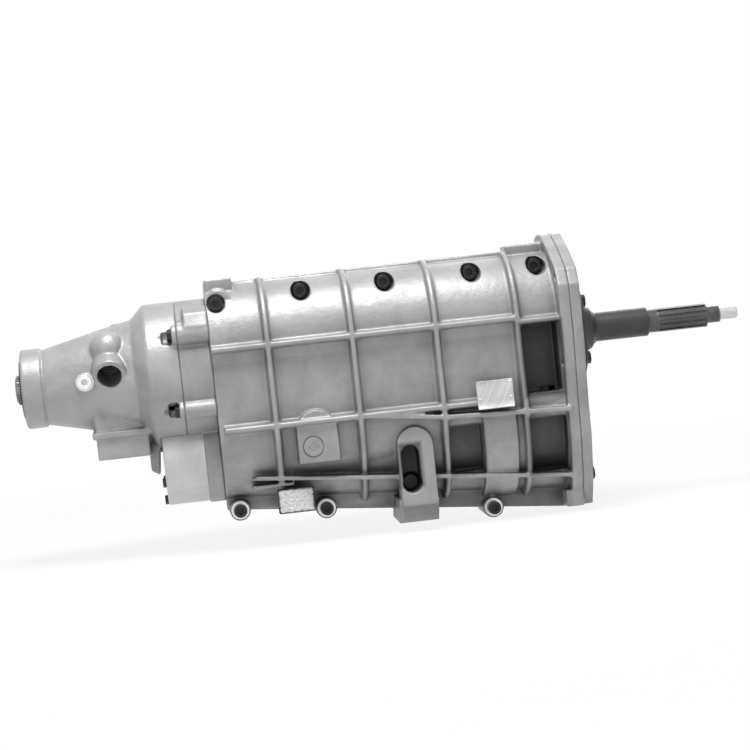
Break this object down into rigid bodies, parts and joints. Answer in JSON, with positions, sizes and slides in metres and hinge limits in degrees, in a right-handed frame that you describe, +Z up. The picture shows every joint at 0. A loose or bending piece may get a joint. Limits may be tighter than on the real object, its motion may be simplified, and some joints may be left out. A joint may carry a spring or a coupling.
{
  "type": "manual transmission",
  "caption": "Manual gearbox with a ribbed split case, tapered tail housing, splined input shaft and a working gear train with side shift levers.",
  "frame": {"origin": "on the main shaft axis, at the front face of the front plate", "axes": "+X forward along the main shaft to the engine, +Z up, +Y to the side with the shift levers"},
  "size_m": [0.874, 0.246, 0.3315],
  "materials": {
    "cast_case": "as-cast, matt",
    "dark_casting": "machined cast iron",
    "black_bolts": "black oxide",
    "bright_steel": "zinc plated",
    "plug_steel": "plain steel",
    "bare_plate": "bare sheet",
    "seal_rubber": "oil seal rubber",
    "bearing_steel": "ground and polished",
    "shaft_steel": "hardened and ground",
    "gear_steel": "case hardened",
    "blocker_brass": "machined brass",
    "fork_bronze": "cast bronze",
    "bush_bronze": "sintered bronze",
    "nylon": "moulded",
    "lever_steel": "yellow zinc plated"
  },
  "bodies": {
    "housing": {"case_right": "cast_case", "case_left": "cast_case", "front_plate": "cast_case", "bearing_retainer": "dark_casting", "front_bolts": "black_bolts", "clamp_bolts": "black_bolts", "clamp_washers": "bright_steel", "rear_bearing_plate": "cast_case", "tail_housing": "cast_case", "tail_bolts": "black_bolts", "cover_bolts": "black_bolts", "rear_seal": "seal_rubber", "rear_bushing": "bush_bronze", "speedo_clip_bolt": "bright_steel", "counter_rear_cover": "cast_case", "fill_plug": "plug_steel", "drain_plug": "plug_steel", "blank_plate": "bare_plate", "front_seal": "seal_rubber", "main_outer_races": "bearing_steel", "counter_outer_races": "bearing_steel", "idler_shaft": "bearing_steel", "shift_rail": "bearing_steel"},
    "input": {"input_shaft": "shaft_steel", "input_bearing_inner": "bearing_steel", "input_bearing_balls": "bearing_steel", "pilot_rollers": "bearing_steel"},
    "counter": {"countershaft": "shaft_steel", "counter_drive_gear": "gear_steel", "counter_gear_4": "gear_steel", "counter_gear_3": "gear_steel", "counter_gear_2": "gear_steel", "counter_inner_races": "bearing_steel", "counter_balls": "bearing_steel"},
    "output": {"mainshaft": "shaft_steel", "hub_45": "gear_steel", "hub_23": "gear_steel", "hub_1r": "gear_steel", "blocker_rings": "blocker_brass", "speedo_drive_gear": "nylon", "rear_bearing_inner": "bearing_steel", "rear_bearing_balls": "bearing_steel"},
    "fourth": {"gear_4th": "gear_steel"},
    "third": {"gear_3rd": "gear_steel"},
    "second": {"gear_2nd": "gear_steel"},
    "first": {"gear_1st": "gear_steel"},
    "reverse": {"gear_reverse": "gear_steel"},
    "idler": {"idler_gear": "gear_steel"},
    "slider_45": {"sleeve_45": "gear_steel"},
    "slider_23": {"sleeve_23": "gear_steel"},
    "slider_1r": {"sleeve_1r": "gear_steel"},
    "selector_45": {"fork_45": "fork_bronze"},
    "selector_23": {"fork_23": "fork_bronze"},
    "selector_1r": {"fork_1r": "fork_bronze"},
    "handle_45": {"lever_shaft_45": "lever_steel", "lever_45": "lever_steel"},
    "handle_23": {"lever_shaft_23": "lever_steel", "lever_23": "lever_steel"},
    "handle_1r": {"lever_shaft_1r": "lever_steel", "lever_1r": "lever_steel"}
  },
  "joints": [
    {"name": "input_spin", "type": "hinge", "parent": "housing", "child": "input", "pos_m": [0, 0, 0], "axis": [1, 0, 0], "continuous": true},
    {"name": "output_spin", "type": "hinge", "parent": "housing", "child": "output", "pos_m": [0, 0, 0], "axis": [1, 0, 0], "continuous": true},
    {"name": "counter_spin", "type": "hinge", "parent": "housing", "child": "counter", "pos_m": [0, 0, -0.1016], "axis": [1, 0, 0], "continuous": true},
    {"name": "fourth_spin", "type": "hinge", "parent": "housing", "child": "fourth", "pos_m": [0, 0, 0], "axis": [1, 0, 0], "continuous": true},
    {"name": "third_spin", "type": "hinge", "parent": "housing", "child": "third", "pos_m": [0, 0, 0], "axis": [1, 0, 0], "continuous": true},
    {"name": "second_spin", "type": "hinge", "parent": "housing", "child": "second", "pos_m": [0, 0, 0], "axis": [1, 0, 0], "continuous": true},
    {"name": "first_spin", "type": "hinge", "parent": "housing", "child": "first", "pos_m": [0, 0, 0], "axis": [1, 0, 0], "continuous": true},
    {"name": "idler_spin", "type": "hinge", "parent": "housing", "child": "idler", "pos_m": [0, 0.04547, -0.06699], "axis": [1, 0, 0], "continuous": true},
    {"name": "reverse_spin", "type": "hinge", "parent": "housing", "child": "reverse", "pos_m": [0, 0, 0], "axis": [1, 0, 0], "continuous": true},
    {"name": "lever_45_turn", "type": "hinge", "parent": "housing", "child": "handle_45", "pos_m": [-0.099, 0, 0], "axis": [0, 1, 0], "range_deg": [-14.8, 14.8]},
    {"name": "fork_45_slide", "type": "slide", "parent": "housing", "child": "selector_45", "axis": [1, 0, 0], "range_m": [-0.0106, 0.0106]},
    {"name": "sleeve_45_slide", "type": "slide", "parent": "output", "child": "slider_45", "axis": [1, 0, 0], "range_m": [-0.0106, 0.0106]},
    {"name": "lever_23_turn", "type": "hinge", "parent": "housing", "child": "handle_23", "pos_m": [-0.227, 0, 0], "axis": [0, 1, 0], "range_deg": [-14.8, 14.8]},
    {"name": "fork_23_slide", "type": "slide", "parent": "housing", "child": "selector_23", "axis": [1, 0, 0], "range_m": [-0.0106, 0.0106]},
    {"name": "sleeve_23_slide", "type": "slide", "parent": "output", "child": "slider_23", "axis": [1, 0, 0], "range_m": [-0.0106, 0.0106]},
    {"name": "lever_1r_turn", "type": "hinge", "parent": "housing", "child": "handle_1r", "pos_m": [-0.367, 0, 0], "axis": [0, 1, 0], "range_deg": [-14.8, 14.8]},
    {"name": "fork_1r_slide", "type": "slide", "parent": "housing", "child": "selector_1r", "axis": [1, 0, 0], "range_m": [-0.0106, 0.0106]},
    {"name": "sleeve_1r_slide", "type": "slide", "parent": "output", "child": "slider_1r", "axis": [1, 0, 0], "range_m": [-0.0106, 0.0106]}
  ],
  "couplings": [
    {"joint": "counter_spin", "follows": "input_spin", "ratio": -0.68421},
    {"joint": "fourth_spin", "follows": "input_spin", "ratio": 0.8797},
    {"joint": "third_spin", "follows": "input_spin", "ratio": 0.68421},
    {"joint": "second_spin", "follows": "input_spin", "ratio": 0.49929},
    {"joint": "first_spin", "follows": "input_spin", "ratio": 0.311},
    {"joint": "idler_spin", "follows": "input_spin", "ratio": 0.68421},
    {"joint": "reverse_spin", "follows": "input_spin", "ratio": -0.37321},
    {"joint": "fork_45_slide", "follows": "lever_45_turn", "m_per_rad": 0.04065},
    {"joint": "sleeve_45_slide", "follows": "lever_45_turn", "m_per_rad": 0.04065},
    {"joint": "fork_23_slide", "follows": "lever_23_turn", "m_per_rad": 0.04065},
    {"joint": "sleeve_23_slide", "follows": "lever_23_turn", "m_per_rad": 0.04065},
    {"joint": "fork_1r_slide", "follows": "lever_1r_turn", "m_per_rad": 0.04065},
    {"joint": "sleeve_1r_slide", "follows": "lever_1r_turn", "m_per_rad": 0.04065}
  ]
}
